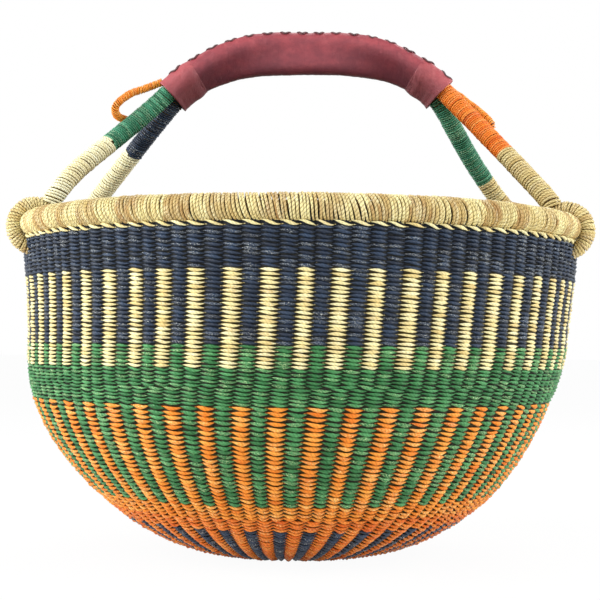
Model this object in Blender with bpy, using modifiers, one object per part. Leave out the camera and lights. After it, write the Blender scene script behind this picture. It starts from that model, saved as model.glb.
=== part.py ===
"""Round twined grass basket with a wrapped rim, two bound handle arches and a laced leather grip.

Metres, +Z up. The origin is on the ground under the middle of the base, X runs along the handle
and -Y faces the viewer. Run in Blender 4.5.
"""

import math

import bmesh
import bpy
import numpy as np
from mathutils import Vector

# Space left between two pieces that touch.
PIECE_GAP = 0.0003

# Bowl: the outer face of the woven wall, from the mouth under the rim down to the flat base.
WALL_HEIGHT = 0.2368
MOUTH_RADIUS = 0.2130
WAIST_RADIUS = 0.2064
WAIST_HEIGHT = 0.160
BASE_RADIUS = 0.056
START_RADIUS = 0.033
WALL_THICKNESS = 0.006
FLARE_POWER = 1.2
BOWL_FULLNESS = 1.76
OUTER_LAYER_SHARE = 0.55

# Weave: one column for each stake. Stakes are added as the bowl widens, inside the orange and green
# bands. Each phase turns that zone's first column, and the bands are measured down the wall.
BASE_STAKES = 80
MIDDLE_STAKES = 100
TOP_STAKES = 112
BASE_PHASE = math.radians(4.6)
MIDDLE_PHASE = math.radians(2.8)
TOP_PHASE = math.radians(1.4)
TOP_LEAN = math.radians(2.1)
LOWER_LEAN = math.radians(5.0)
EDGE_ROW_HEIGHT = 0.0032
NAVY_BAND = 0.0270
NATURAL_NAVY_BAND = 0.0495
NATURAL_GREEN_BAND = 0.0155
GREEN_BAND = 0.0256
GREEN_ORANGE_BAND = 0.0835
ORANGE_BAND = 0.0296

# Rim: a bundle of grass bound with straw, sitting on the wall.
RIM_INSET = 0.0084
RIM_RADIUS = MOUTH_RADIUS - RIM_INSET
RIM_THICKNESS = 0.0172
RIM_WRAP_THICKNESS = 0.0020
RIM_SLOT_HALF_ANGLE = math.radians(15)
RIM_STEPS = 48
RIM_SIDES = 8
RIM_CORE_SIDES = 6

# Eyes: the four loops that hang the handle on the rim. Each passes through the weave under it.
FOOT_ANGLE = math.radians(18)
EYE_RADIUS = 0.0168
EYE_THICKNESS = 0.0104
EYE_DROP = 0.0020
# Each leg bends as it leaves its eye, so it keeps a little more room than other pieces.
FOOT_GAP = 0.0006

# Handle: two arches, one over the other inside the grip, that part into four legs.
HANDLE_HEIGHT = 0.4034
CORE_THICKNESS = 0.0095
NATURAL_WRAP_DIAMETER = 0.0148
COLOURED_WRAP_DIAMETER = 0.0146
GRIP_SHIFT = 0.0045
GRIP_LEFT_SPAN = 0.1044
GRIP_RIGHT_SPAN = 0.1020
GRIP_LEFT_DROP = 0.0336
GRIP_RIGHT_DROP = 0.0302
GRIP_LEFT_CURVE = 3
GRIP_RIGHT_CURVE = 3.3
# The arches lie one over the other in the middle of the grip and turn towards side by side at its ends.
GRIP_TURN = math.radians(66)
WRAP_UNDER_LEATHER = 0.022
# Each leg's rise from its eye, how far it keeps that rise, how far it follows the grip at its top, and
# the length of its bare-straw wrap.
LEG_RISES = {
    "front_left": math.radians(59),
    "rear_left": math.radians(44),
    "front_right": math.radians(62),
    "rear_right": math.radians(43),
}
LEG_FOOT_PULLS = {
    "front_left": 0.036,
    "rear_left": 0.008,
    "front_right": 0.008,
    "rear_right": 0.066,
}
LEG_TOP_PULLS = {
    "front_left": 0.068,
    "rear_left": 0.016,
    "front_right": 0.014,
    "rear_right": 0.018,
}
NATURAL_LENGTHS = {
    "front_left": 0.071,
    "rear_left": 0.0745,
    "front_right": 0.056,
    "rear_right": 0.047,
}
ARCH_SEGMENT = 0.018

# Grip: a leather sheet laced along the top, with a leather cuff round each end.
LEATHER_THICKNESS = 0.0010
LEATHER_EASE = 0.0006
CUFF_LENGTH = 0.019
CUFF_THICKNESS = 0.0010
CUFF_OVERHANG = 0.0010
GRIP_STEPS = 4
CUFF_STEPS = 2
LACE_THICKNESS = 0.0012
LACE_STITCHES = 16
LACE_STITCH_POINTS = 6
LACE_EASE = 0.0004
LACE_SWING = math.radians(38)

# Tie loops: bound cords that leave the leather's ends beside the front legs, turned this far from
# above the leg to behind it. The left one stands open and tucks in behind its leg, the right one lies
# along its leg and comes back behind it.
TIE_THICKNESS = 0.0062
TIE_LEFT_ROOT_TURN = 0
TIE_RIGHT_ROOT_TURN = math.radians(71.3)
TIE_REACH_LEFT = 0.0431
TIE_REACH_RIGHT = 0.0479
# Out along the leg, up from it and back behind it, as shares of the loop's reach.
TIE_LEFT_SHARES = (
    (0.277, 0.332, 0),
    (0.417, 0.386, 0),
    (0.553, 0.437, 0),
    (0.767, 0.464, 0),
    (0.929, 0.451, 0.019),
    (1.0, 0.381, 0.081),
    (0.986, 0.261, 0.167),
    (0.898, 0.140, 0.227),
    (0.805, 0.025, 0.260),
)
TIE_RIGHT_SHARES = (
    (0.223, 0.083, 0.210),
    (0.378, 0.093, 0.205),
    (0.555, 0.116, 0.193),
    (0.724, 0.134, 0.181),
    (0.874, 0.139, 0.177),
    (0.968, 0.126, 0.187),
    (0.999, 0.070, 0.214),
    (0.958, 0.002, 0.226),
    (0.832, -0.033, 0.223),
    (0.624, -0.050, 0.220),
    (0.415, -0.057, 0.218),
)

NATURAL = (0.60, 0.45, 0.20)
NAVY = (0.022, 0.028, 0.075)
GREEN = (0.018, 0.17, 0.065)
ORANGE = (0.68, 0.19, 0.018)
BURGUNDY = (0.22, 0.030, 0.040)
DARK_LACE = (0.050, 0.012, 0.014)


def material(name, colour, roughness):
    finish = bpy.data.materials.new(name)
    finish.use_nodes = True
    shader = finish.node_tree.nodes["Principled BSDF"]
    shader.inputs["Base Color"].default_value = (*colour, 1)
    shader.inputs["Roughness"].default_value = roughness
    shader.inputs["Metallic"].default_value = 0
    return finish


def add_object(name, data, colour, roughness=0.75, collection=None):
    thing = bpy.data.objects.new(name, data)
    (collection or basket).objects.link(thing)
    data.materials.append(material(name, colour, roughness))
    return thing


def bowl_radius(height):
    if height >= WAIST_HEIGHT:
        share = (height - WAIST_HEIGHT) / (WALL_HEIGHT - WAIST_HEIGHT)
        return WAIST_RADIUS + (MOUTH_RADIUS - WAIST_RADIUS) * share**FLARE_POWER
    fall = (WAIST_HEIGHT - height) / WAIST_HEIGHT
    reach = max(0, 1 - fall**BOWL_FULLNESS) ** (1 / BOWL_FULLNESS)
    return BASE_RADIUS + (WAIST_RADIUS - BASE_RADIUS) * reach


def profile_table(samples=600):
    """Length down the wall, radius and height of its outer face, on to the middle of the base."""
    heights = [WALL_HEIGHT * (1 - math.sin(step / samples * math.pi / 2)) for step in range(samples)]
    radii = [bowl_radius(height) for height in heights]
    heights += [0, 0]
    radii += [BASE_RADIUS, 0]
    steps = np.hypot(np.diff(radii), np.diff(heights))
    return np.concatenate([[0], np.cumsum(steps)]), np.array(radii), np.array(heights)


def wall_point(length, depth=0):
    """Radius and height at this length down the wall, depth in from its outer face."""
    place = np.array([np.interp(length, down, radii), np.interp(length, down, heights)])
    ahead, behind = length + WALL_THICKNESS / 2, length - WALL_THICKNESS / 2
    along = np.array(
        [
            np.interp(ahead, down, radii) - np.interp(behind, down, radii),
            np.interp(ahead, down, heights) - np.interp(behind, down, heights),
        ]
    )
    along /= np.linalg.norm(along)
    inward = np.array([along[1], -along[0]])
    return place + inward * depth


def turned_by_lean(length):
    """How far the columns have turned round the bowl by this length down the wall."""
    return float(np.interp(length, down, lean_turn))


def woven_piece(name, colour, stakes, phase, is_filled):
    """One weaver: the cells of the wall that its strands cover, as one solid with the gap all round it."""

    def filled(layer, column, row):
        if layer not in (0, 1) or not 0 <= row < len(LINES) - 1:
            return False
        return is_filled(layer, column % 2, row)

    def lean_of_cells(cells, axis):
        balance = sum(1 if cell[axis] == 0 else -1 for cell in cells)
        return (balance > 0) - (balance < 0)

    def corner(depth_edge, column_edge, line):
        key = (depth_edge, column_edge % stakes, line)
        if key in corners:
            return corners[key]
        cells = [
            (a, b, c)
            for a in (-1, 0)
            for b in (-1, 0)
            for c in (-1, 0)
            if filled(depth_edge + a, column_edge + b, line + c)
        ]
        half_gap = PIECE_GAP / 2
        length = LINES[line] + half_gap * lean_of_cells(cells, 2)
        depth = LAYER_DEPTHS[depth_edge]
        if depth_edge == 1:
            depth += half_gap * lean_of_cells(cells, 0)
        radius, height = wall_point(length, depth)
        angle = phase + 2 * math.pi * (column_edge - 0.5) / stakes - turned_by_lean(length)
        angle += half_gap / radius * lean_of_cells(cells, 1)
        corners[key] = bm.verts.new((radius * math.sin(angle), -radius * math.cos(angle), height))
        return corners[key]

    corners = {}
    bm = bmesh.new()
    # Each side of a cell: the step to its neighbour, and the four corners of the face between them.
    sides = (
        ((-1, 0, 0), ((0, 0, 0), (0, 0, 1), (0, 1, 1), (0, 1, 0))),
        ((1, 0, 0), ((1, 0, 0), (1, 1, 0), (1, 1, 1), (1, 0, 1))),
        ((0, -1, 0), ((0, 0, 0), (1, 0, 0), (1, 0, 1), (0, 0, 1))),
        ((0, 1, 0), ((0, 1, 0), (0, 1, 1), (1, 1, 1), (1, 1, 0))),
        ((0, 0, -1), ((0, 0, 0), (0, 1, 0), (1, 1, 0), (1, 0, 0))),
        ((0, 0, 1), ((0, 0, 1), (1, 0, 1), (1, 1, 1), (0, 1, 1))),
    )
    for layer in (0, 1):
        for column in range(stakes):
            for row in range(len(LINES) - 1):
                if not filled(layer, column, row):
                    continue
                for (a, b, c), face in sides:
                    if not filled(layer + a, column + b, row + c):
                        bm.faces.new([corner(layer + i, column + j, row + k) for i, j, k in face])
    bmesh.ops.recalc_face_normals(bm, faces=bm.faces)
    # Faces that lie in one plane across the two layers become one.
    bmesh.ops.dissolve_limit(bm, angle_limit=math.radians(0.3), verts=bm.verts, edges=bm.edges)
    mesh = bpy.data.meshes.new(name)
    bm.to_mesh(mesh)
    bm.free()
    return add_object(name, mesh, colour)


def turned_ring(name, colour, outline):
    """A closed outline of (radius, height) points turned round the Z axis."""
    mesh = bpy.data.meshes.new(name)
    points = [(radius, 0, height) for radius, height in outline]
    mesh.from_pydata(points, [(i, (i + 1) % len(points)) for i in range(len(points))], [])
    ring = add_object(name, mesh, colour)
    screw = ring.modifiers.new("turn", "SCREW")
    screw.axis = "Z"
    screw.angle = 2 * math.pi
    screw.steps = screw.render_steps = RIM_STEPS
    screw.use_merge_vertices = True
    screw.merge_threshold = 0.00001
    screw.use_smooth_shade = True
    return ring


def rim_outline():
    """The wrap's section: a round shell with a slot over the wall's top edge, where the stakes enter."""
    top_of_wall = wall_point(0, WALL_THICKNESS / 2)
    slot = math.atan2(top_of_wall[1] - RIM_HEIGHT, top_of_wall[0] - RIM_RADIUS)
    first, last = slot + RIM_SLOT_HALF_ANGLE, slot + 2 * math.pi - RIM_SLOT_HALF_ANGLE
    outer = RIM_THICKNESS / 2
    inner = outer - RIM_WRAP_THICKNESS
    outline = []
    for reach, angles in (
        (outer, np.linspace(last, first, RIM_SIDES + 1)),
        (inner, np.linspace(first, last, RIM_CORE_SIDES)),
    ):
        outline += [(RIM_RADIUS + reach * math.cos(a), RIM_HEIGHT + reach * math.sin(a)) for a in angles]
    return outline


def smooth_route(points, count):
    """Count + 1 points at equal steps along a smooth curve through these points."""
    points = [Vector(point) for point in points]
    ends = [2 * points[0] - points[1]] + points + [2 * points[-1] - points[-2]]
    fine = []
    for i in range(1, len(ends) - 2):
        before, start, stop, after = ends[i - 1 : i + 3]
        for step in range(16):
            t = step / 16
            fine.append(
                0.5
                * (
                    2 * start
                    + (stop - before) * t
                    + (2 * before - 5 * start + 4 * stop - after) * t**2
                    + (3 * start - before - 3 * stop + after) * t**3
                )
            )
    fine.append(points[-1])
    return even_steps(fine, count)


def route_lengths(points):
    steps = [(after - before).length for before, after in zip(points, points[1:])]
    return np.concatenate([[0], np.cumsum(steps)])


def even_steps(points, count, start=0, stop=None):
    """Count + 1 points at equal steps between two lengths along a route."""
    lengths = route_lengths(points)
    stop = lengths[-1] if stop is None else stop
    places = np.array([tuple(point) for point in points])
    targets = np.linspace(start, stop, count + 1)
    return [Vector([np.interp(target, lengths, places[:, axis]) for axis in range(3)]) for target in targets]


def stretch_of(points, start, stop):
    """The part of a route between two lengths along it, through the route's own points."""
    lengths = route_lengths(points)
    inside = [p for p, length in zip(points, lengths) if start + ARCH_SEGMENT / 12 < length < stop - ARCH_SEGMENT / 12]
    ends = even_steps(points, 1, start, stop)
    return [ends[0], *inside, ends[1]]


def tube(name, colour, points, diameter, resolution=2, wall=0, roughness=0.75):
    """A round tube along the points: solid with caps, or a sleeve with this wall."""
    curve = bpy.data.curves.new(name, "CURVE")
    curve.dimensions = "3D"
    curve.twist_mode = "Z_UP"
    curve.bevel_depth = diameter / 2
    curve.bevel_resolution = resolution
    curve.use_fill_caps = not wall
    spline = curve.splines.new("POLY")
    spline.points.add(len(points) - 1)
    for place, point in zip(spline.points, points):
        place.co = (*point, 1)
    spline.use_smooth = True
    thing = add_object(name, curve, colour, roughness)
    if wall:
        shell = thing.modifiers.new("sleeve", "SOLIDIFY")
        shell.thickness = wall
        shell.offset = -1
    return thing


def grip_span(side):
    return GRIP_LEFT_SPAN if side < 0 else GRIP_RIGHT_SPAN


def grip_share(x):
    """How far out x lies between the grip's middle and its end on that side."""
    return abs(x) / grip_span(x)


def grip_frame(x):
    """A point on the line between the two arches, with the directions along it and up from it."""
    drop, curve = (GRIP_LEFT_DROP, GRIP_LEFT_CURVE) if x < 0 else (GRIP_RIGHT_DROP, GRIP_RIGHT_CURVE)
    share = grip_share(x)
    height = GRIP_MIDDLE_HEIGHT - drop * share**curve
    slope = -curve * drop / grip_span(x) * share ** (curve - 1) * math.copysign(1, x)
    along = Vector((1, 0, slope)).normalized()
    return Vector((x + GRIP_SHIFT, 0, height)), along, Vector((-along.z, 0, along.x))


def grip_turn(x):
    share = min(1, grip_share(x))
    return GRIP_TURN * share**2 * (3 - 2 * share)


def to_front_arch(x):
    """The direction from the grip's middle line to the front arch at this place."""
    _, _, up = grip_frame(x)
    turn = grip_turn(x)
    return up * math.cos(turn) + Vector((0, -math.sin(turn), 0))


def leg_name(side, front):
    return f"{'front' if front > 0 else 'rear'}_{'left' if side < 0 else 'right'}"


def foot_frame(side, front):
    """The middle of an eye's ring, the way out from the basket's middle and the way up the leg."""
    out = Vector((side * math.cos(FOOT_ANGLE), -front * math.sin(FOOT_ANGLE), 0))
    middle = RIM_RADIUS * out + Vector((0, 0, RIM_HEIGHT - EYE_DROP))
    angle = LEG_RISES[leg_name(side, front)]
    rise = -out * math.cos(angle) + Vector((0, 0, math.sin(angle)))
    return middle, out, rise


def leg_route(side, front, steps=24):
    """One leg from its foot on the eye up to the end of the grip."""
    leg = leg_name(side, front)
    middle, _, rise = foot_frame(side, front)
    foot = middle + rise * (EYE_RADIUS + EYE_THICKNESS / 2 + FOOT_GAP)
    place, along, _ = grip_frame(side * grip_span(side))
    top = place + to_front_arch(side * grip_span(side)) * front * ARCH_OFFSET
    foot_handle = foot + rise * LEG_FOOT_PULLS[leg]
    top_handle = top + along * side * LEG_TOP_PULLS[leg]
    route = []
    for step in range(steps + 1):
        t = step / steps
        route.append(
            foot * (1 - t) ** 3
            + foot_handle * 3 * t * (1 - t) ** 2
            + top_handle * 3 * t**2 * (1 - t)
            + top * t**3
        )
    return route


def leg_points(side, front):
    route = leg_route(side, front)
    return even_steps(route, round(route_lengths(route)[-1] / ARCH_SEGMENT))


def arch_route(front):
    """A whole arch: up the left leg, through the grip's stations and down the right leg."""
    middle = []
    for x in GRIP_STATIONS[1:-1]:
        place, _, _ = grip_frame(x)
        middle.append(place + to_front_arch(x) * front * ARCH_OFFSET)
    return leg_points(-1, front) + middle + leg_points(1, front)[::-1]


def oval_section(name, half_height, half_depth, corner_steps=6):
    """An upright oval with straight sides, as the outline that is swept along the grip."""
    straight = half_height - half_depth
    curve = bpy.data.curves.new(name, "CURVE")
    curve.dimensions = "2D"
    spline = curve.splines.new("POLY")
    points = []
    for end in (1, -1):
        for step in range(corner_steps + 1):
            angle = math.pi * step / corner_steps
            points.append((end * half_depth * math.cos(angle), end * (straight + half_depth * math.sin(angle))))
    spline.points.add(len(points) - 1)
    for place, (across, up) in zip(spline.points, reversed(points)):
        place.co = (across, up, 0, 1)
    spline.use_cyclic_u = True
    section = bpy.data.objects.new(name, curve)
    guides.objects.link(section)
    section.hide_render = True
    section.display_type = "WIRE"
    return section


def leather_sleeve(name, stations, half_height, half_depth, thickness):
    """A leather shell round the grip, through these places along X."""
    curve = bpy.data.curves.new(name, "CURVE")
    curve.dimensions = "3D"
    curve.twist_mode = "Z_UP"
    curve.bevel_mode = "OBJECT"
    curve.bevel_object = oval_section(name + "_section", half_height, half_depth)
    curve.use_fill_caps = False
    spline = curve.splines.new("POLY")
    spline.points.add(len(stations) - 1)
    for place, x in zip(spline.points, stations):
        point, _, _ = grip_frame(x)
        place.co = (*point, 1)
        place.tilt = grip_turn(x)
    spline.use_smooth = True
    sleeve = add_object(name, curve, BURGUNDY, 0.55)
    shell = sleeve.modifiers.new("sheet", "SOLIDIFY")
    shell.thickness = thickness
    shell.offset = -1
    return sleeve


def eye_cutter(side, front):
    """A ring a gap wider than the eye, which opens its way through the weave."""
    cutter = ring_mesh("cut_eye", side, front, EYE_THICKNESS + 2 * PIECE_GAP, guides)
    cutter.hide_render = True
    cutter.display_type = "WIRE"
    return cutter


def ring_mesh(name, side, front, thickness, collection):
    middle, out, _ = foot_frame(side, front)
    bpy.ops.mesh.primitive_torus_add(
        major_segments=16, minor_segments=6, major_radius=EYE_RADIUS, minor_radius=thickness / 2
    )
    ring = bpy.context.object
    ring.name = name
    ring.data.name = name
    for owner in list(ring.users_collection):
        owner.objects.unlink(ring)
    collection.objects.link(ring)
    ring.location = middle
    ring.rotation_euler = (math.pi / 2, 0, math.atan2(out.y, out.x))
    ring.data.shade_smooth()
    return ring


def cut_with(target, cutter):
    cut = target.modifiers.new("way_through", "BOOLEAN")
    cut.operation = "DIFFERENCE"
    cut.solver = "EXACT"
    cut.object = cutter


for old in list(bpy.data.objects):
    bpy.data.objects.remove(old, do_unlink=True)
basket = bpy.data.collections.new("bolga_basket")
guides = bpy.data.collections.new("guides")
for collection in (basket, guides):
    bpy.context.scene.collection.children.link(collection)

down, radii, heights = profile_table()
top_zone = EDGE_ROW_HEIGHT + NAVY_BAND + NATURAL_NAVY_BAND + NATURAL_GREEN_BAND
lean_slopes = np.where(down[1:] < top_zone, math.tan(TOP_LEAN), math.tan(LOWER_LEAN))
lean_turn = np.concatenate([[0], np.cumsum(np.diff(down) / np.maximum(radii[1:], START_RADIUS) * lean_slopes)])
base_line = float(down[-2])
LINES = [EDGE_ROW_HEIGHT]
for band, rows in (
    (NAVY_BAND, 1),
    (NATURAL_NAVY_BAND, 1),
    (NATURAL_GREEN_BAND, 1),
    (GREEN_BAND, 2),
    (GREEN_ORANGE_BAND, 2),
    (ORANGE_BAND, 2),
):
    LINES += [LINES[-1] + band * (row + 1) / rows for row in range(rows)]
LINES += [(LINES[-1] + base_line) / 2, base_line, base_line + BASE_RADIUS - START_RADIUS]
LAYER_DEPTHS = (0, WALL_THICKNESS * OUTER_LAYER_SHARE, WALL_THICKNESS)

# Rows of cells between the lines, from the mouth down.
NAVY_ROW, NATURAL_NAVY_ROW, NATURAL_GREEN_ROW, GREEN_UPPER_ROW, GREEN_LOWER_ROW = 0, 1, 2, 3, 4
GREEN_ORANGE_ROWS, ORANGE_UPPER_ROW, ORANGE_LOWER_ROW, ORANGE_NAVY_ROWS, BASE_ROW = (5, 6), 7, 8, (9, 10), 11


def navy_top_cell(layer, odd, row):
    return row == NAVY_ROW or (row == NATURAL_NAVY_ROW and odd)


def natural_cell(layer, odd, row):
    if row == NATURAL_GREEN_ROW:
        return layer == 1 or not odd
    return row == NATURAL_NAVY_ROW and not odd


def green_upper_cell(layer, odd, row):
    if row == NATURAL_GREEN_ROW:
        return layer == 0 and bool(odd)
    return row == GREEN_UPPER_ROW


def green_lower_cell(layer, odd, row):
    return row == GREEN_LOWER_ROW or (row in GREEN_ORANGE_ROWS and not odd)


def orange_upper_cell(layer, odd, row):
    return row == ORANGE_UPPER_ROW or (row in GREEN_ORANGE_ROWS and bool(odd))


def orange_lower_cell(layer, odd, row):
    return row == ORANGE_LOWER_ROW or (row in ORANGE_NAVY_ROWS and not odd)


def navy_base_cell(layer, odd, row):
    return row == BASE_ROW or (row in ORANGE_NAVY_ROWS and bool(odd))


navy_top = woven_piece("weaver_navy_top", NAVY, TOP_STAKES, TOP_PHASE, navy_top_cell)
woven_piece("weaver_natural", NATURAL, TOP_STAKES, TOP_PHASE, natural_cell)
woven_piece("weaver_green_upper", GREEN, TOP_STAKES, TOP_PHASE, green_upper_cell)
woven_piece("weaver_green_lower", GREEN, MIDDLE_STAKES, MIDDLE_PHASE, green_lower_cell)
woven_piece("weaver_orange_upper", ORANGE, MIDDLE_STAKES, MIDDLE_PHASE, orange_upper_cell)
woven_piece("weaver_orange_lower", ORANGE, BASE_STAKES, BASE_PHASE, orange_lower_cell)
woven_piece("weaver_navy_base", NAVY, BASE_STAKES, BASE_PHASE, navy_base_cell)

# Start of the base, where the stakes cross and the first rows bind them.
bpy.ops.mesh.primitive_cylinder_add(
    vertices=BASE_STAKES // 2,
    radius=START_RADIUS - PIECE_GAP,
    depth=WALL_THICKNESS,
    location=(0, 0, WALL_THICKNESS / 2),
)
start = bpy.context.object
start.name = start.data.name = "base_start"
for owner in list(start.users_collection):
    owner.objects.unlink(start)
basket.objects.link(start)
start.data.materials.append(material("base_start", NAVY, 0.75))

# Rim, with the finishing row of pale straw that closes the weave under it.
RIM_HEIGHT = WALL_HEIGHT + PIECE_GAP + RIM_THICKNESS / 2
row_top, row_bottom = 0, EDGE_ROW_HEIGHT - PIECE_GAP
row_outline = [
    tuple(wall_point(row_top, 0)),
    tuple(wall_point(row_bottom, 0)),
    tuple(wall_point(row_bottom, WALL_THICKNESS)),
    tuple(wall_point(row_top, WALL_THICKNESS)),
]
edge_row = turned_ring("edge_row", NATURAL, row_outline)
turned_ring("rim_wrap", NATURAL, rim_outline())
core_radius = (RIM_THICKNESS / 2 - RIM_WRAP_THICKNESS) * math.cos(math.pi / (RIM_CORE_SIDES - 1)) - PIECE_GAP
core_angles = [2 * math.pi * step / RIM_CORE_SIDES for step in range(RIM_CORE_SIDES)]
turned_ring(
    "rim_core",
    NATURAL,
    [(RIM_RADIUS + core_radius * math.cos(-a), RIM_HEIGHT + core_radius * math.sin(-a)) for a in core_angles],
)

# Handle cores, wraps and eyes.
ARCH_OFFSET = (COLOURED_WRAP_DIAMETER + PIECE_GAP) / 2
GRIP_HALF_HEIGHT = ARCH_OFFSET + COLOURED_WRAP_DIAMETER / 2 + LEATHER_EASE + LEATHER_THICKNESS
GRIP_HALF_DEPTH = COLOURED_WRAP_DIAMETER / 2 + LEATHER_EASE + LEATHER_THICKNESS
GRIP_MIDDLE_HEIGHT = HANDLE_HEIGHT - GRIP_HALF_HEIGHT - LACE_THICKNESS - LACE_EASE

LEG_COLOURS = {
    "front_left": ("green", GREEN),
    "rear_left": ("navy", NAVY),
    "front_right": ("orange", ORANGE),
    "rear_right": ("green", GREEN),
}
# The places along X that the cores, the leather and the cuffs all bend at.
HALF_STATIONS = {}
for side in (-1, 1):
    cuff_inner = grip_span(side) - CUFF_LENGTH
    HALF_STATIONS[side] = [side * cuff_inner * step / GRIP_STEPS for step in range(1, GRIP_STEPS + 1)]
    HALF_STATIONS[side] += [
        side * (cuff_inner + CUFF_LENGTH * step / CUFF_STEPS) for step in range(1, CUFF_STEPS + 1)
    ]
GRIP_STATIONS = HALF_STATIONS[-1][::-1] + [0] + HALF_STATIONS[1]
for front, arch_name in ((1, "front"), (-1, "rear")):
    route = arch_route(front)
    tube(f"arch_core_{arch_name}", NATURAL, route, CORE_THICKNESS)
    for side, side_name in ((-1, "left"), (1, "right")):
        leg = leg_name(side, front)
        path = route if side < 0 else route[::-1]
        natural_end = NATURAL_LENGTHS[leg]
        leather_edge = route_lengths(leg_points(side, front))[-1]
        colour_name, colour = LEG_COLOURS[leg]
        for label, tint, diameter, first, last in (
            ("natural", NATURAL, NATURAL_WRAP_DIAMETER, 0, natural_end),
            (
                colour_name,
                colour,
                COLOURED_WRAP_DIAMETER,
                natural_end + PIECE_GAP,
                leather_edge + WRAP_UNDER_LEATHER,
            ),
        ):
            sleeve_wall = (diameter - CORE_THICKNESS) / 2 - PIECE_GAP
            tube(f"wrap_{label}_{leg}", tint, stretch_of(path, first, last), diameter, wall=sleeve_wall)
        eye = ring_mesh(f"eye_{leg}", side, front, EYE_THICKNESS, basket)
        eye.data.materials.append(material(f"eye_{leg}", NATURAL, 0.75))
        cutter = eye_cutter(side, front)
        cut_with(navy_top, cutter)
        cut_with(edge_row, cutter)

# Leather grip, its cuffs and its lacing.
leather_sleeve("grip_leather", GRIP_STATIONS, GRIP_HALF_HEIGHT, GRIP_HALF_DEPTH, LEATHER_THICKNESS)
cuff_growth = PIECE_GAP + CUFF_THICKNESS
for side, side_name in ((-1, "left"), (1, "right")):
    stations = HALF_STATIONS[side][GRIP_STEPS - 1 :] + [side * (grip_span(side) + CUFF_OVERHANG)]
    leather_sleeve(
        f"grip_cuff_{side_name}",
        sorted(stations),
        GRIP_HALF_HEIGHT + cuff_growth,
        GRIP_HALF_DEPTH + cuff_growth,
        CUFF_THICKNESS,
    )

lace_points = []
lace_reach = GRIP_HALF_DEPTH + LACE_EASE + LACE_THICKNESS / 2
for step in range(LACE_STITCHES * LACE_STITCH_POINTS + 1):
    turn = step / LACE_STITCH_POINTS
    x = (GRIP_LEFT_SPAN + GRIP_RIGHT_SPAN) * turn / LACE_STITCHES - GRIP_LEFT_SPAN
    place, _, up = grip_frame(x)
    over_cuff = min(1, max(0, (abs(x) - grip_span(x) + CUFF_LENGTH) / LACE_THICKNESS + 2))
    reach = lace_reach + cuff_growth * over_cuff
    swing = LACE_SWING * math.sin(2 * math.pi * turn)
    rounding = place + to_front_arch(x) * (GRIP_HALF_HEIGHT - GRIP_HALF_DEPTH)
    lace_points.append(rounding + up * reach * math.cos(swing) + Vector((0, reach * math.sin(swing), 0)))
nearest = min(
    (a - b).length
    for i, a in enumerate(lace_points)
    for b in lace_points[i + LACE_STITCH_POINTS // 2 + 1 :]
)
print(f"lace: least gap to itself {1000 * (nearest - LACE_THICKNESS):.2f} mm")
tube("grip_lace", DARK_LACE, lace_points, LACE_THICKNESS, resolution=1, roughness=0.6)

# Tie loops. Each follows its front leg from the leather's end.
for side, side_name, root_turn, reach, shares in (
    (-1, "left", TIE_LEFT_ROOT_TURN, TIE_REACH_LEFT, TIE_LEFT_SHARES),
    (1, "right", TIE_RIGHT_ROOT_TURN, TIE_REACH_RIGHT, TIE_RIGHT_SHARES),
):
    leg = leg_points(side, 1)[::-1]
    root_reach = COLOURED_WRAP_DIAMETER / 2 + PIECE_GAP + TIE_THICKNESS / 2
    root_lift, root_back = root_reach * math.cos(root_turn), root_reach * math.sin(root_turn)
    root_start = CUFF_OVERHANG + CUFF_THICKNESS + PIECE_GAP
    route = []
    for far, lift, back in (
        (root_start, root_lift, root_back),
        (root_start + TIE_THICKNESS, root_lift, root_back),
        *([reach * share for share in place] for place in shares),
    ):
        on_leg, beyond = even_steps(leg, 1, far, far + TIE_THICKNESS)
        along = (beyond - on_leg).normalized()
        up = (Vector((0, 0, 1)) - along * along.z).normalized()
        route.append(on_leg + up * lift + up.cross(along) * side * back)
    tube(f"tie_loop_{side_name}", ORANGE, smooth_route(route, 16), TIE_THICKNESS, resolution=1)

for piece in basket.objects:
    if piece.type == "MESH" and piece.name != "rim_core" and not piece.name.startswith("weaver"):
        piece.data.set_sharp_from_angle(angle=math.radians(40))
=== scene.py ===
import math

import bpy
import numpy as np
from mathutils import Euler, Matrix, Vector, noise


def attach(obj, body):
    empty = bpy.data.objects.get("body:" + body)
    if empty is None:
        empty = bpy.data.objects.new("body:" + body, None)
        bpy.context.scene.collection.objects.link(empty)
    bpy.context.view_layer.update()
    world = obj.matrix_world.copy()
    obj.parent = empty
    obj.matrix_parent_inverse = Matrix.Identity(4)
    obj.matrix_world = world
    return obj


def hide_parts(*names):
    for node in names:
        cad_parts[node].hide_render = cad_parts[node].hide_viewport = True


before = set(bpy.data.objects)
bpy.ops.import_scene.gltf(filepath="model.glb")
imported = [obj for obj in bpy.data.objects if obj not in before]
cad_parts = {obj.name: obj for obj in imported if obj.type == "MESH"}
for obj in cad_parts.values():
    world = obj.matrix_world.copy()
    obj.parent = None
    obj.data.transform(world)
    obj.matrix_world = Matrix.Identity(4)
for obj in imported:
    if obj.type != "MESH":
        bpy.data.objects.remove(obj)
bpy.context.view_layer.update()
print("frame loaded")

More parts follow.
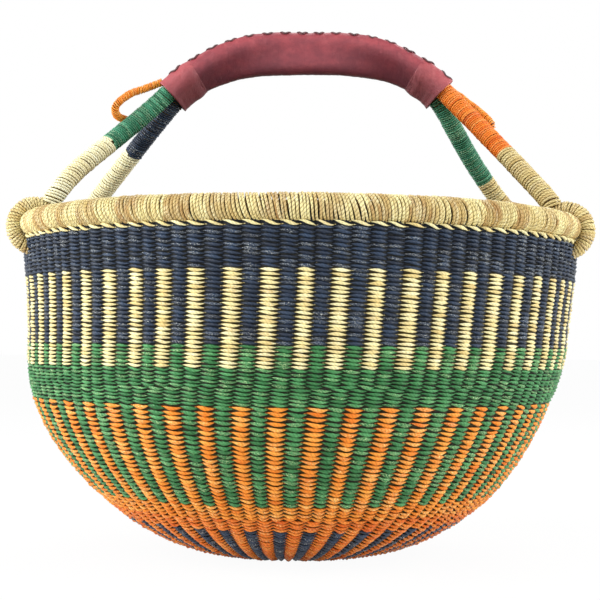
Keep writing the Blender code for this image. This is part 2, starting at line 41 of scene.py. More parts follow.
# sizes that several pieces share, in metres, as the solids have them, but for topLean and the phases:
# the photo's upper stripes lean less than those of the solids
bowl = dict(
    wallHeight=0.2368, mouthRadius=0.2130, waistRadius=0.2064, waistHeight=0.160,
    baseRadius=0.056, startRadius=0.033, wall=0.006, flare=1.2, fullness=1.76, edgeRow=0.0032,
    topLean=math.radians(0.6), lowerLean=math.radians(5.0),
    bands=dict(navy=0.0270, naturalNavy=0.0495, naturalGreen=0.0155, green=0.0256,
               greenOrange=0.0835, orange=0.0296),
    stakes=dict(top=112, middle=100, base=80, floor=40, heart=20),
    phases=dict(top=math.radians(0.9), middle=math.radians(1.93), base=math.radians(3.73),
                floor=math.radians(3.73), heart=math.radians(3.73)),
)
rim = dict(radius=0.2046, thickness=0.0172, gap=0.0003)
rim["height"] = bowl["wallHeight"] + rim["gap"] + rim["thickness"] / 2
handle = dict(
    footAngle=math.radians(18), eyeRadius=0.0168, eyeThickness=0.0104, eyeDrop=0.0020, footGap=0.0006,
    naturalWrap=0.0148, colouredWrap=0.0146, gap=0.0003, height=0.4034, shift=0.0045,
    span=dict(left=0.1044, right=0.1020), drop=dict(left=0.0336, right=0.0302),
    curve=dict(left=3, right=3.3), turn=math.radians(66),
    leather=0.0010, ease=0.0006, lace=0.0012, laceEase=0.0004,
)


def slowWave(rng, count, waves, low, high):
    # a closed, smooth, random curve of this many values, about -1 to 1; each wave goes round low to high times
    turn = np.linspace(0, 2 * np.pi, count, endpoint=False)
    total = np.zeros(count)
    for _ in range(waves):
        rounds, start, strength = rng.integers(low, high), rng.uniform(0, 2 * np.pi), rng.uniform(0.4, 1)
        total += np.sin(rounds * turn + start) * strength
    return total / max(1e-9, np.abs(total).max())


def closedLookup(values, spot):
    # reads a closed curve at fractional places
    return np.interp(spot, np.arange(len(values) + 1), np.append(values, values[0]))


def newThing(name, data):
    thing = bpy.data.objects.new(name, data)
    bpy.context.scene.collection.objects.link(thing)
    return thing


def buildMesh(name, points, quads, vectors):
    mesh = bpy.data.meshes.new(name)
    points = np.asarray(points, dtype=np.float32)
    quads = np.asarray(quads, dtype=np.int32)
    mesh.vertices.add(len(points))
    mesh.vertices.foreach_set("co", points.ravel())
    mesh.loops.add(quads.size)
    mesh.loops.foreach_set("vertex_index", quads.ravel())
    mesh.polygons.add(len(quads))
    mesh.polygons.foreach_set("loop_start", np.arange(0, quads.size, 4, dtype=np.int32))
    mesh.update(calc_edges=True)
    mesh.validate()
    mesh.shade_smooth()
    for label, values in vectors.items():
        layer = mesh.attributes.new(label, "FLOAT_VECTOR", "POINT")
        layer.data.foreach_set("vector", np.asarray(values, dtype=np.float32).ravel())
    return newThing(name, mesh)


def pathLengths(path):
    return np.concatenate([[0], np.cumsum(np.linalg.norm(np.diff(path, axis=0), axis=1))])


class Strands:
    # collects straw strands that end up in one mesh

    def __init__(self, sides=5):
        self.sides = sides
        self.points, self.quads, self.coords, self.tintsAndShades = [], [], [], []
        self.total = 0

    # the third tint value sets painted shade: towards 0 the strand takes its shade colour, as where strands cross
    def add(self, path, out, up, thick, wide, tone, mark, stand=1.0, closed=False):
        count, sides = len(path), self.sides
        turn = np.arange(sides) * 2 * np.pi / sides
        cos, sin = np.cos(turn), np.sin(turn)
        thick, wide = np.broadcast_to(thick, count), np.broadcast_to(wide, count)
        ring = (path[:, None, :] + out[:, None, :] * (thick[:, None, None] * cos[None, :, None])
                + up[:, None, :] * (wide[:, None, None] * sin[None, :, None]))
        coord = np.stack(np.broadcast_arrays(pathLengths(path)[:, None] * 1000, cos, sin), axis=-1)
        tintAndShade = np.stack([np.broadcast_to(value, count) for value in (tone, mark, stand)], axis=1)
        rows = np.arange(count if closed else count - 1)
        near = rows[:, None] * sides
        far = ((rows + 1) % count)[:, None] * sides
        here, beside = np.arange(sides)[None, :], (np.arange(sides)[None, :] + 1) % sides
        self.quads.append(np.stack([near + here, far + here, far + beside, near + beside], axis=-1).reshape(-1, 4)
                          + self.total)
        self.points.append(ring.reshape(-1, 3))
        self.coords.append(coord.reshape(-1, 3))
        self.tintsAndShades.append(np.repeat(tintAndShade, sides, axis=0))
        self.total += count * sides

    def piece(self, name, replaces, slot, finish):
        thing = buildMesh(name, np.concatenate(self.points), np.concatenate(self.quads),
                          dict(strand=np.concatenate(self.coords), tintAndShade=np.concatenate(self.tintsAndShades)))
        thing.data.materials.append(finish)
        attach(thing, "root")
        if replaces:
            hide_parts(replaces)
        print(f"  {name}: {2 * len(thing.data.polygons)} triangles")


def pathFrames(path):
    # the way along a path and two ways across it, carried along without twisting
    ahead = np.gradient(path, axis=0)
    tangent = ahead / np.linalg.norm(ahead, axis=1)[:, None]
    side = np.zeros_like(tangent)
    first = np.cross(tangent[0], (0, 0, 1.0))
    if np.linalg.norm(first) < 1e-3:
        first = np.array([1.0, 0, 0])
    side[0] = first / np.linalg.norm(first)
    for i in range(1, len(path)):
        moved = side[i - 1] - tangent[i] * np.dot(side[i - 1], tangent[i])
        side[i] = moved / np.linalg.norm(moved)
    return tangent, side, np.cross(tangent, side)


def alongPath(lengths, values, where):
    return np.stack([np.interp(where, lengths, values[:, axis]) for axis in range(3)], axis=-1)


def cutPath(path, first, last, count):
    lengths = pathLengths(path)
    return alongPath(lengths, path, np.linspace(first, lengths[-1] if last is None else last, count))


def bundleInside(strands, path, radius):
    # stems inside a coil, painted all in their straw's shade colour, so that no light comes through between its
    # turns
    _, side, lift = pathFrames(path)
    strands.add(path, side, lift, radius, radius, tone=0.3, mark=0.0, stand=0.0)


# shares of a straw's width or thickness by which its turns differ, and how much of the pitch it fills
coil = dict(loose=0.10, lumpy=0.16, wider=0.08, full=0.46, knots=3, leanFrom=0.6)


def coilRound(strands, path, radius, pitch, thick, rng, perTurn, lean, tones=None, fanFrom=None):
    # winds one straw round a path, turn beside turn, each a little unlike the next
    lengths = pathLengths(path)
    turns = int(round(lengths[-1] / pitch))
    phase = np.arange(turns * perTurn + 1) / perTurn
    angle = 2 * np.pi * phase
    tangent, side, lift = pathFrames(path)
    turnOf = np.clip(phase.astype(int), 0, turns - 1)
    knots = np.arange(coil["knots"] * (turns + 1) + 1) / coil["knots"]

    def uneven(spread):
        return np.interp(phase, knots, rng.normal(0, spread, len(knots)))

    sway = uneven(coil["loose"]) * pitch
    where = phase / turns * lengths[-1] + lean * radius * np.sin(angle - coil["leanFrom"]) + sway
    where = np.clip(where, 0, lengths[-1])
    at, along, sideways, upward = (alongPath(lengths, values, where) for values in (path, tangent, side, lift))
    out = sideways * np.cos(angle)[:, None] + upward * np.sin(angle)[:, None]
    reach = radius - thick + uneven(coil["lumpy"]) * thick
    if tones is None:
        tones = rng.uniform(0, 1, turns + 1)
    width = pitch * coil["full"] * (1 + uneven(coil["wider"]))
    middle = at + out * reach[:, None]
    if fanFrom is not None:  # round a ring, the straws spread towards its outside
        width *= np.linalg.norm(middle - fanFrom, axis=1) / np.linalg.norm(at - fanFrom, axis=1)
    strands.add(middle, out, along, thick, width, tones[turnOf % len(tones)], rng.uniform(0, 1, turns + 1)[turnOf])


def strawTones(rng, count, middle):
    # the tones of neighbouring straws drift slowly, with odd ones between
    drift = slowWave(rng, count, 3, 1, 4) * 0.3
    return np.clip(drift + middle + rng.uniform(-0.25, 0.25, count), 0, 1)


def join(tree, value, socket):
    if isinstance(value, tuple):
        socket.default_value = (*value, 1)
    elif isinstance(value, (int, float)):
        socket.default_value = value
    else:
        tree.links.new(value, socket)


def sums(tree, operation, *values):
    node = tree.nodes.new("ShaderNodeMath")
    node.operation = operation
    for socket, value in zip(node.inputs, values):
        join(tree, value, socket)
    return node.outputs[0]


def mixColour(tree, share, low, high):
    node = tree.nodes.new("ShaderNodeMix")
    node.data_type = "RGBA"
    join(tree, share, node.inputs[0])
    join(tree, low, node.inputs[6])
    join(tree, high, node.inputs[7])
    return node.outputs[2]


def mixPart(tree, mask, most, low, high):
    # mixes by a mask that counts for this much at most
    return mixColour(tree, sums(tree, "MULTIPLY", mask, most), low, high)


def noiseOf(tree, vector, scale, detail, roughness=0.5):
    node = tree.nodes.new("ShaderNodeTexNoise")
    node.inputs["Scale"].default_value = scale
    node.inputs["Detail"].default_value = detail
    node.inputs["Roughness"].default_value = roughness
    tree.links.new(vector, node.inputs["Vector"])
    return node.outputs["Fac"]


def ramp(tree, value, low, high):
    node = tree.nodes.new("ShaderNodeMapRange")
    node.inputs["From Min"].default_value = low
    node.inputs["From Max"].default_value = high
    node.clamp = True
    tree.links.new(value, node.inputs["Value"])
    return node.outputs["Result"]


def stretched(tree, vector, scale):
    node = tree.nodes.new("ShaderNodeMapping")
    node.inputs["Scale"].default_value = scale
    tree.links.new(vector, node.inputs["Vector"])
    return node.outputs["Vector"]


def readVector(tree, name):
    node = tree.nodes.new("ShaderNodeAttribute")
    node.attribute_name = name
    split = tree.nodes.new("ShaderNodeSeparateXYZ")
    tree.links.new(node.outputs["Vector"], split.inputs[0])
    return node.outputs["Vector"], split.outputs


def newFinish(name):
    finish = bpy.data.materials.new(name)
    finish.use_nodes = True
    return finish, finish.node_tree, finish.node_tree.nodes["Principled BSDF"]


def setSurface(tree, shader, base, height, grain, rough, gloss):
    tree.links.new(base, shader.inputs["Base Color"])
    bump = tree.nodes.new("ShaderNodeBump")
    bump.inputs["Strength"].default_value = grain["bump"]
    bump.inputs["Distance"].default_value = grain["bumpDepth"]
    tree.links.new(height, bump.inputs["Height"])
    tree.links.new(bump.outputs["Normal"], shader.inputs["Normal"])
    shader.inputs["Roughness"].default_value = rough
    shader.inputs["Specular IOR Level"].default_value = gloss


# twisted straw: fibres along it, a tone for each stitch, painted shade between strands and odd pale fibres
strawGrain = dict(
    stitchJump=(53, 37, 0), fibreStretch=(0.30, 2.4, 2.4), fibreNoise=(1.9, 3.0, 0.65),
    streakBand=(0.46, 0.70), streakDark=0.45, glintBand=(0.44, 0.30),
    blotchStretch=(0.06, 0.1, 0.1), blotchNoise=(1.0, 1.0), blotchBand=(0.35, 0.65), blotchMost=0.7,
    speckStretch=(2.1, 0.6, 0.6), speckNoise=(2.6, 1.0), speckEdge=0.05, speckStitches=(0.62, 0.74), speckMost=0.9,
    plyTwist=2.4, plies=2.0, plyShadeBand=(-0.45, -0.95), edgeShadeBand=(-0.60, 0.12), crossShadeBand=(0.03, 0.17),
    plyBump=0.35, bump=0.6, bumpDepth=0.0003,
)


def strawFinish(name, light, middle, dark, paintedShade, speck, speckLow, streak, rough, gloss, glint, twist):
    grain = strawGrain
    finish, tree, shader = newFinish(name)
    strand, (along, face, edge) = readVector(tree, "strand")
    tintAndShade, (tone, mark, stand) = readVector(tree, "tintAndShade")
    offset = tree.nodes.new("ShaderNodeVectorMath")
    offset.operation = "MULTIPLY_ADD"
    tree.links.new(tintAndShade, offset.inputs[0])
    offset.inputs[1].default_value = grain["stitchJump"]
    tree.links.new(stretched(tree, strand, grain["fibreStretch"]), offset.inputs[2])
    fibres = noiseOf(tree, offset.outputs[0], *grain["fibreNoise"])
    blotch = noiseOf(tree, stretched(tree, strand, grain["blotchStretch"]), *grain["blotchNoise"])
    base = mixColour(tree, tone, dark, light)
    base = mixPart(tree, ramp(tree, blotch, *grain["blotchBand"]), grain["blotchMost"], base, middle)
    base = mixPart(tree, ramp(tree, fibres, *grain["streakBand"]), streak, base,
                   tuple(grain["streakDark"] * value for value in dark))
    # painted glints: pale streaks along the fibres stand in for highlights
    if glint:
        base = mixPart(tree, ramp(tree, fibres, *grain["glintBand"]), glint, base, speck)
    spots = noiseOf(tree, stretched(tree, offset.outputs[0], grain["speckStretch"]), *grain["speckNoise"])
    spotted = sums(tree, "MULTIPLY", ramp(tree, spots, speckLow, speckLow + grain["speckEdge"]),
                   ramp(tree, mark, *grain["speckStitches"]))
    base = mixPart(tree, spotted, grain["speckMost"], base, speck)
    around = sums(tree, "ARCTAN2", edge, face)
    plies = sums(tree, "SINE", sums(tree, "MULTIPLY_ADD", along, grain["plyTwist"],
                                    sums(tree, "MULTIPLY", around, grain["plies"])))
    # painted shade in the grooves between the two plies, as strong as twist
    base = mixPart(tree, ramp(tree, plies, *grain["plyShadeBand"]), twist, base, paintedShade)
    # painted shade: the strand is darkest along its edges and where it crosses its neighbour, where shade falls
    # between strands
    proud = sums(tree, "MULTIPLY", ramp(tree, sums(tree, "ABSOLUTE", face), *grain["edgeShadeBand"]),
                 ramp(tree, sums(tree, "ABSOLUTE", stand), *grain["crossShadeBand"]))
    base = mixColour(tree, proud, paintedShade, base)
    height = sums(tree, "MULTIPLY_ADD", plies, grain["plyBump"], fibres)
    setSurface(tree, shader, base, height, grain, rough, gloss)
    return finish


# dyed hide: cloudy, paler where it is stretched, with painted shade making it darker and bluer underneath
hideGrain = dict(
    cloudStretch=(1.0, 1.7, 1.7), cloudNoise=(62, 5.0, 0.62), cloudBand=(0.20, 0.66),
    patchNoise=(150, 4.0, 0.65), patchBand=(0.50, 0.72), patchMost=0.45,
    mottleNoise=(420, 3.0, 0.6), mottleBand=(0.50, 0.75), mottleMost=0.40,
    scratchStretch=(7.0, 1.0, 0.6), scratchNoise=(55, 4.0, 0.75),
    paleBand=(0.60, 0.72), paleMost=0.45, darkBand=(0.42, 0.30), darkMost=0.40,
    cloudsInUnderShade=0.9, underShadeBand=(0.95, -0.55), underShadeMost=0.85,
    poreScale=900, poreBump=0.35, creaseStretch=(2.2, 0.7, 0.7), creaseNoise=(260, 4.0, 0.7),
    bump=0.5, bumpDepth=0.0007, rough=0.52, gloss=0.4,
)


def hideFinish(name, light, dark, under, patch):
    grain = hideGrain
    finish, tree, shader = newFinish(name)
    place = tree.nodes.new("ShaderNodeTexCoord").outputs["Object"]
    clouds = noiseOf(tree, stretched(tree, place, grain["cloudStretch"]), *grain["cloudNoise"])
    patches = noiseOf(tree, place, *grain["patchNoise"])
    mottle = noiseOf(tree, place, *grain["mottleNoise"])
    scratches = noiseOf(tree, stretched(tree, place, grain["scratchStretch"]), *grain["scratchNoise"])
    base = mixColour(tree, ramp(tree, clouds, *grain["cloudBand"]), dark, light)
    for kind, pattern, colour in (("patch", patches, patch), ("mottle", mottle, dark),
                                  ("pale", scratches, patch), ("dark", scratches, dark)):
        base = mixPart(tree, ramp(tree, pattern, *grain[f"{kind}Band"]), grain[f"{kind}Most"], base, colour)
    # painted shade: darker and bluer where the hide faces down
    _, (_, _, level) = readVector(tree, "hide")
    low = sums(tree, "MULTIPLY_ADD", clouds, grain["cloudsInUnderShade"], level)
    base = mixPart(tree, ramp(tree, low, *grain["underShadeBand"]), grain["underShadeMost"], base, under)
    pores = tree.nodes.new("ShaderNodeTexVoronoi")
    pores.inputs["Scale"].default_value = grain["poreScale"]
    tree.links.new(place, pores.inputs["Vector"])
    creases = noiseOf(tree, stretched(tree, place, grain["creaseStretch"]), *grain["creaseNoise"])
    height = sums(tree, "MULTIPLY_ADD", pores.outputs["Distance"], grain["poreBump"], creases)
    setSurface(tree, shader, base, height, grain, grain["rough"], grain["gloss"])
    return finish


# each straw's darkest colour is its painted shade, put along strand edges, where strands cross and in ply grooves
usual = dict(speckLow=0.58, streak=0.50, rough=0.42, gloss=0.3, glint=0.0, twist=0.35)
straws = dict(
    natural=dict(light=(1.0, 0.97, 0.58), middle=(0.92, 0.80, 0.37), dark=(0.74, 0.54, 0.20),
                 paintedShade=(0.13, 0.085, 0.010), speck=(1.0, 1.0, 0.80), streak=0.42, rough=0.40, twist=0.30),
    rim=dict(light=(1.0, 0.92, 0.47), middle=(0.72, 0.54, 0.20), dark=(0.46, 0.26, 0.09),
             paintedShade=(0.13, 0.072, 0.005), speck=(1.0, 0.96, 0.68), twist=0.65),
    # leg straw is natural straw made paler, near white: partly its own colour, partly painted light for the brightly
    # lit left side
    leg=dict(light=(1.0, 1.0, 0.74), middle=(1.0, 0.93, 0.56), dark=(0.90, 0.76, 0.40),
             paintedShade=(0.27, 0.170, 0.045), speck=(1.0, 1.0, 0.80), streak=0.35, twist=0.50),
    navy=dict(light=(0.036, 0.066, 0.126), middle=(0.018, 0.031, 0.058), dark=(0.008, 0.015, 0.034),
              paintedShade=(0.002, 0.004, 0.008), speck=(0.86, 0.88, 0.80), speckLow=0.62, gloss=0.35, glint=0.06,
              twist=0.40),
    green=dict(light=(0.120, 0.420, 0.150), middle=(0.038, 0.215, 0.066), dark=(0.015, 0.120, 0.030),
               paintedShade=(0.003, 0.036, 0.004), speck=(0.72, 0.90, 0.46), speckLow=0.59, rough=0.45, glint=0.16,
               twist=0.40),
    legGreen=dict(light=(0.090, 0.400, 0.230), middle=(0.032, 0.210, 0.110), dark=(0.013, 0.115, 0.056),
                  paintedShade=(0.003, 0.034, 0.012), speck=(0.60, 0.84, 0.52), speckLow=0.59, rough=0.45, glint=0.16,
                  twist=0.40),
    orange=dict(light=(1.0, 0.46, 0.080), middle=(1.0, 0.33, 0.028), dark=(0.80, 0.185, 0.010),
                paintedShade=(0.170, 0.032, 0.002), speck=(1.0, 0.84, 0.38), streak=0.40, rough=0.45, gloss=0.25),
    deepOrange=dict(light=(1.0, 0.36, 0.060), middle=(0.95, 0.24, 0.020), dark=(0.70, 0.115, 0.007),
                    paintedShade=(0.190, 0.024, 0.001), speck=(1.0, 0.74, 0.30), speckLow=0.60, streak=0.42,
                    rough=0.45, gloss=0.25),
    # the stakes are natural straw, but their finish is painted shade, dark brown and blue, so that the gaps between
    # the stitches look deep
    stake=dict(light=(0.085, 0.062, 0.016), middle=(0.034, 0.030, 0.017), dark=(0.014, 0.019, 0.030),
               paintedShade=(0.010, 0.010, 0.008), speck=(0.30, 0.24, 0.12), speckLow=0.7, rough=0.6, gloss=0.2),
)
strawLooks = {kind: strawFinish(f"{kind}Straw", **{**usual, **own}) for kind, own in straws.items()}
# the under colours are painted shade for where the hide faces down
hideLook = hideFinish("burgundyHide", light=(0.335, 0.052, 0.065), dark=(0.200, 0.027, 0.041),
                      under=(0.098, 0.028, 0.041), patch=(0.450, 0.100, 0.108))
cuffLook = hideFinish("cuffHide", light=(0.410, 0.080, 0.090), dark=(0.275, 0.046, 0.058),
                      under=(0.150, 0.043, 0.053), patch=(0.510, 0.130, 0.134))
print("finishes made")


# the bowl's outline, from the mouth down to the middle of the base
def bowlRadius(height):
    if height >= bowl["waistHeight"]:
        share = (height - bowl["waistHeight"]) / (bowl["wallHeight"] - bowl["waistHeight"])
        return bowl["waistRadius"] + (bowl["mouthRadius"] - bowl["waistRadius"]) * share ** bowl["flare"]
    fall = (bowl["waistHeight"] - height) / bowl["waistHeight"]
    reach = max(0, 1 - fall ** bowl["fullness"]) ** (1 / bowl["fullness"])
    return bowl["baseRadius"] + (bowl["waistRadius"] - bowl["baseRadius"]) * reach


outlineSteps = 600
heights = [bowl["wallHeight"] * (1 - math.sin(step / outlineSteps * math.pi / 2)) for step in range(outlineSteps)]
radii = np.array([bowlRadius(height) for height in heights] + [bowl["baseRadius"], 0])
heights = np.array(heights + [0, 0])
down = np.concatenate([[0], np.cumsum(np.hypot(np.diff(radii), np.diff(heights)))])
baseLine = float(down[-2])
lines = dict(edge=bowl["edgeRow"])
above = "edge"
for band, height in bowl["bands"].items():
    lines[band] = lines[above] + height
    above = band
slopes = np.where(down[1:] < lines["green"], math.tan(bowl["topLean"]), math.tan(bowl["lowerLean"]))
leanTurn = np.concatenate([[0], np.cumsum(np.diff(down) / np.maximum(radii[1:], bowl["startRadius"]) * slopes)])


# the hand-made body leans a little to the left under its rim: height up the wall, and shift
bodyShift = ((-0.01, -0.0028), (0.0, -0.0028), (0.03, -0.0020), (0.045, -0.0022), (0.07, -0.0046),
             (0.09, -0.0056), (0.115, -0.0058), (0.155, -0.0018), (0.2, 0.0))


def bodyLean(height):
    return np.interp(height, *zip(*bodyShift))


def wallPlaces(zone, place, length):
    # points in the wall at this place among the stakes and length down, the ways out, up and round, and the radius
    half = bowl["wall"] / 2
    alongR, alongZ = (np.interp(length + half, down, values) - np.interp(length - half, down, values)
                      for values in (radii, heights))
    size = np.maximum(np.hypot(alongR, alongZ), 1e-9)
    alongR, alongZ = np.where(length < 0, 0, alongR / size), np.where(length < 0, -1, alongZ / size)
    radius = np.interp(length, down, radii) + alongZ * half
    height = np.interp(length, down, heights) - np.minimum(length, 0) - alongR * half
    angle = bowl["phases"][zone] + 2 * np.pi * place / bowl["stakes"][zone] - np.interp(length, down, leanTurn)
    sinA, cosA = np.sin(angle), -np.cos(angle)
    return (np.stack([radius * sinA + bodyLean(height), radius * cosA, height], axis=1),
            np.stack([-alongZ * sinA, -alongZ * cosA, alongR], axis=1),
            np.stack([-alongR * sinA, -alongR * cosA, -alongZ], axis=1),
            np.stack([-cosA, sinA, np.zeros_like(sinA)], axis=1), radius)


# spreads are how far the lift, push, width and slant differ from stitch to stitch
weave = dict(
    swing=0.00175, thick=0.00112, thinEnd=0.8, spots=(0, 0.22, 0.5, 0.78), cross=0.13, narrow=0.11, wide=0.49,
    taper=0.7, proud=(0, 0), shade=0.15, spreads=(0.15, 0.14, 0.11, 0.14), seed=2024,
    unevenRow=0.00034, rowWaves=((7, 1, 12), (5, 1, 7)), ringSteps=720, rowTurn=0.9, rowStart=1.3,
    unevenStake=0.06, stakeWaves=(6, 2, 14), stakeSway=0.14, stakeSeed=11, nextStrand=7919,
)


def stakeJitter(zone, seed):
    rng = np.random.default_rng(seed)
    stakes = bowl["stakes"][zone]
    drift = slowWave(rng, stakes, *weave["stakeWaves"]) * weave["stakeSway"]
    jitter = drift + rng.normal(0, weave["unevenStake"], stakes)
    return np.append(jitter, jitter[0])


jitters = {zone: stakeJitter(zone, weave["stakeSeed"] + place) for place, zone in enumerate(bowl["stakes"])}
rng = np.random.default_rng(weave["seed"])


def layRows(targets, first, last, pitch, zone, **change):
    # a pair of strands that twist once for each two stakes and climb as a spiral;
    # the first of targets is the one that is outside on even stakes
    look = {**weave, **change}
    stakes = bowl["stakes"][zone]
    rows = max(1, int(round((last - first) / pitch)))
    pitch = (last - first) / rows
    turn = (np.arange(rows * stakes)[:, None] + np.array(look["spots"])[None, :]).ravel() / stakes
    turn = np.append(turn, rows)
    place = (turn - np.floor(turn)) * stakes - stakes / 2
    place[-1] = stakes / 2
    spot = (turn * look["ringSteps"]) % look["ringSteps"]
    mixRows = 0.5 + 0.5 * np.sin(np.floor(turn) * look["rowTurn"] + look["rowStart"])
    oneWave, otherWave = (closedLookup(slowWave(rng, look["ringSteps"], *waves), spot) for waves in look["rowWaves"])
    uneven = oneWave * mixRows + otherWave * (1 - mixRows)
    length = first + pitch * turn + uneven * look["unevenRow"] * np.clip(np.minimum(turn, rows - turn), 0, 1)
    shift = np.interp(place + stakes / 2, np.arange(stakes + 1), jitters[zone])
    middle, out, up, _, _ = wallPlaces(zone, place + shift, length)
    for which, target in enumerate(targets):
        swing = np.pi * (place - which)
        stitch = np.floor(turn * stakes + 0.5).astype(int) + which * look["nextStrand"]
        count = stitch.max() + 2
        bell = np.abs(np.cos(swing)) ** (2 * look["taper"])
        lift, push, grow, slant = (rng.normal(0, spread, count)[stitch] for spread in look["spreads"])
        tone, mark = (rng.uniform(0, 1, count)[stitch] for _ in range(2))
        depth = look["swing"] * np.cos(swing) * (1 + push * bell) + look["proud"][which]
        rise = -(look["cross"] + slant * 0.5) * pitch * np.sin(swing) + pitch * lift * bell * 0.5
        broad = pitch * (look["narrow"] + (look["wide"] - look["narrow"]) * bell) * (1 + grow * bell)
        thick = look["thick"] * (look["thinEnd"] + (1 - look["thinEnd"]) * bell)
        # the last value sets the painted shade, deepest where the two strands cross
        target.add(middle + out * depth[:, None] + up * rise[:, None], out, up, thick, broad, tone, mark,
                   np.cos(swing) + look["shade"])


navyTop, natural, greenUpper, greenLower = (Strands() for _ in range(4))
orangeUpper, orangeLower, navyBase, baseStart = (Strands() for _ in range(4))
edge = Strands(6)
greenMiddle = (lines["naturalGreen"] + lines["green"]) / 2
orangeMiddle = (lines["greenOrange"] + lines["orange"]) / 2
startLine = baseLine + bowl["baseRadius"] - bowl["startRadius"]

# in the stripes, the brighter strand stands a little prouder than the one it twists with
firstProud, secondProud = dict(proud=(0.0002, -0.0002)), dict(proud=(-0.0002, 0.0002))
# the big slanting stitches under the rim
edgeStitch = dict(cross=0.40, wide=0.36, narrow=0.10, swing=0.0019, thick=0.0014,
                  spots=(0, 0.15, 0.35, 0.5, 0.65, 0.85))
bandStitch = dict(cross=0.20)
aboveMouth, startWidth, flatWidth = 0.0003, 0.0195, 0.002
# from the mouth down: the strands, where their rows end, the pitch of the rows, the stakes and how they differ;
# the flat of the base has fewer stakes towards the middle, where they cross
rowBands = (
    ((edge, edge), lines["edge"], 0.0032, "top", edgeStitch),
    ((navyTop, navyTop), lines["navy"], 0.0027, "top", bandStitch),
    ((natural, navyTop), lines["naturalNavy"], 0.00273, "top", firstProud),
    ((natural, greenUpper), lines["naturalGreen"], 0.00265, "top", firstProud),
    ((greenUpper, greenUpper), greenMiddle, 0.00268, "top", bandStitch),
    ((greenLower, greenLower), lines["green"], 0.00268, "middle", bandStitch),
    ((greenLower, orangeUpper), lines["greenOrange"], 0.0036, "middle", secondProud),
    ((orangeUpper, orangeUpper), orangeMiddle, 0.0039, "middle", {}),
    ((orangeLower, orangeLower), lines["orange"], 0.0039, "base", {}),
    ((orangeLower, navyBase), baseLine - flatWidth, 0.0039, "base", firstProud),
    ((navyBase, navyBase), startLine, 0.0038, "floor", {}),
    ((baseStart, baseStart), startLine + startWidth, 0.0033, "heart", {}),
)
first = -aboveMouth
for targets, last, pitch, zone, change in rowBands:
    layRows(targets, first, last, pitch, zone, **change)
    first = last
print("rows laid")

# crossed strips where the stakes meet in the middle of the base
crossed = dict(half=0.0150, strips=7, wide=0.00214, thick=0.0009, depth=0.0030, wave=0.0011, over=1.12, points=57)
step = 2 * crossed["half"] / crossed["strips"]
facing = np.tile((0.0, 0.0, -1.0), (crossed["points"], 1))
for direction in (0, 1):
    across = np.tile((1.0, 0.0, 0.0) if direction else (0.0, 1.0, 0.0), (crossed["points"], 1))
    for strip in range(crossed["strips"]):
        run = np.linspace(-crossed["half"] * crossed["over"], crossed["half"] * crossed["over"], crossed["points"])
        beside = np.full_like(run, (strip - (crossed["strips"] - 1) / 2) * step)
        wave = crossed["wave"] * np.cos(np.pi * (run / step + strip + direction))
        path = np.stack([run, beside, crossed["depth"] + wave], axis=1)
        if direction:
            path = path[:, [1, 0, 2]]
        path[:, 0] += bodyLean(0.0)
        baseStart.add(path, facing, across, crossed["thick"], crossed["wide"], rng.uniform(), rng.uniform())

# the stakes that the strands twist round, from the rim down to the middle of the base; their colour is painted shade
# for the gaps between the stitches
stakeShape = dict(thick=0.00070, spacing=0.009, share=0.64, leastPoints=5, aboveMouth=0.006, overlap=0.004,
                  paleTone=1.0, greenTone=0.35, navyTone=0.0, toneRange=(0.8, 1))
stakesInside = Strands(4)
for zone, first, last in (("top", -stakeShape["aboveMouth"], greenMiddle), ("middle", greenMiddle, orangeMiddle),
                          ("base", orangeMiddle, baseLine + stakeShape["overlap"]),
                          ("floor", baseLine, startLine), ("heart", startLine, startLine + startWidth)):
    stakes = bowl["stakes"][zone]
    length = np.linspace(first, last, max(stakeShape["leastPoints"], int((last - first) / stakeShape["spacing"])))
    # stripes of pale and dark stitches, bands of pale ones only, and bands of green or navy ones, each with its own
    # tone of the stakes' painted shade
    striped = (length > lines["navy"]) & (length < lines["naturalGreen"]) | (length > lines["green"])
    plain = np.where(length > lines["naturalNavy"], stakeShape["greenTone"], stakeShape["navyTone"])
    for stake in range(stakes):
        path, out, _, side, radius = wallPlaces(zone, stake - stakes / 2 + jitters[zone][stake], length)
        wide = stakeShape["share"] * 2 * np.pi * radius / stakes
        pale = (stake - stakes // 2) % 2 == (1 if zone == "middle" else 0)
        tone = np.where(striped & pale | (length > lines["greenOrange"]), stakeShape["paleTone"], plain)
        tone = tone * rng.uniform(*stakeShape["toneRange"])
        stakesInside.add(path, out, side, stakeShape["thick"], wide, tone, rng.uniform())
print("stakes set")

for strands, name, node, dye, look in (
        (edge, "edgeRowStrands", "edge_row", "natural", "natural"),
        (navyTop, "navyUpperStrands", "weaver_navy_top", "navy", "navy"),
        (natural, "naturalStrands", "weaver_natural", "natural", "natural"),
        (greenUpper, "greenUpperStrands", "weaver_green_upper", "green", "green"),
        (greenLower, "greenLowerStrands", "weaver_green_lower", "green", "green"),
        (orangeUpper, "orangeUpperStrands", "weaver_orange_upper", "orange", "orange"),
        (orangeLower, "orangeLowerStrands", "weaver_orange_lower", "orange", "deepOrange"),
        (navyBase, "navyBaseStrands", "weaver_navy_base", "navy", "navy"),
        (baseStart, "baseStartWeave", "base_start", "navy", "navy"),
        (stakesInside, "stakesInTheWall", "", "natural", "stake")):
    strands.piece(name, node, f"{dye}_straw", strawLooks[look])

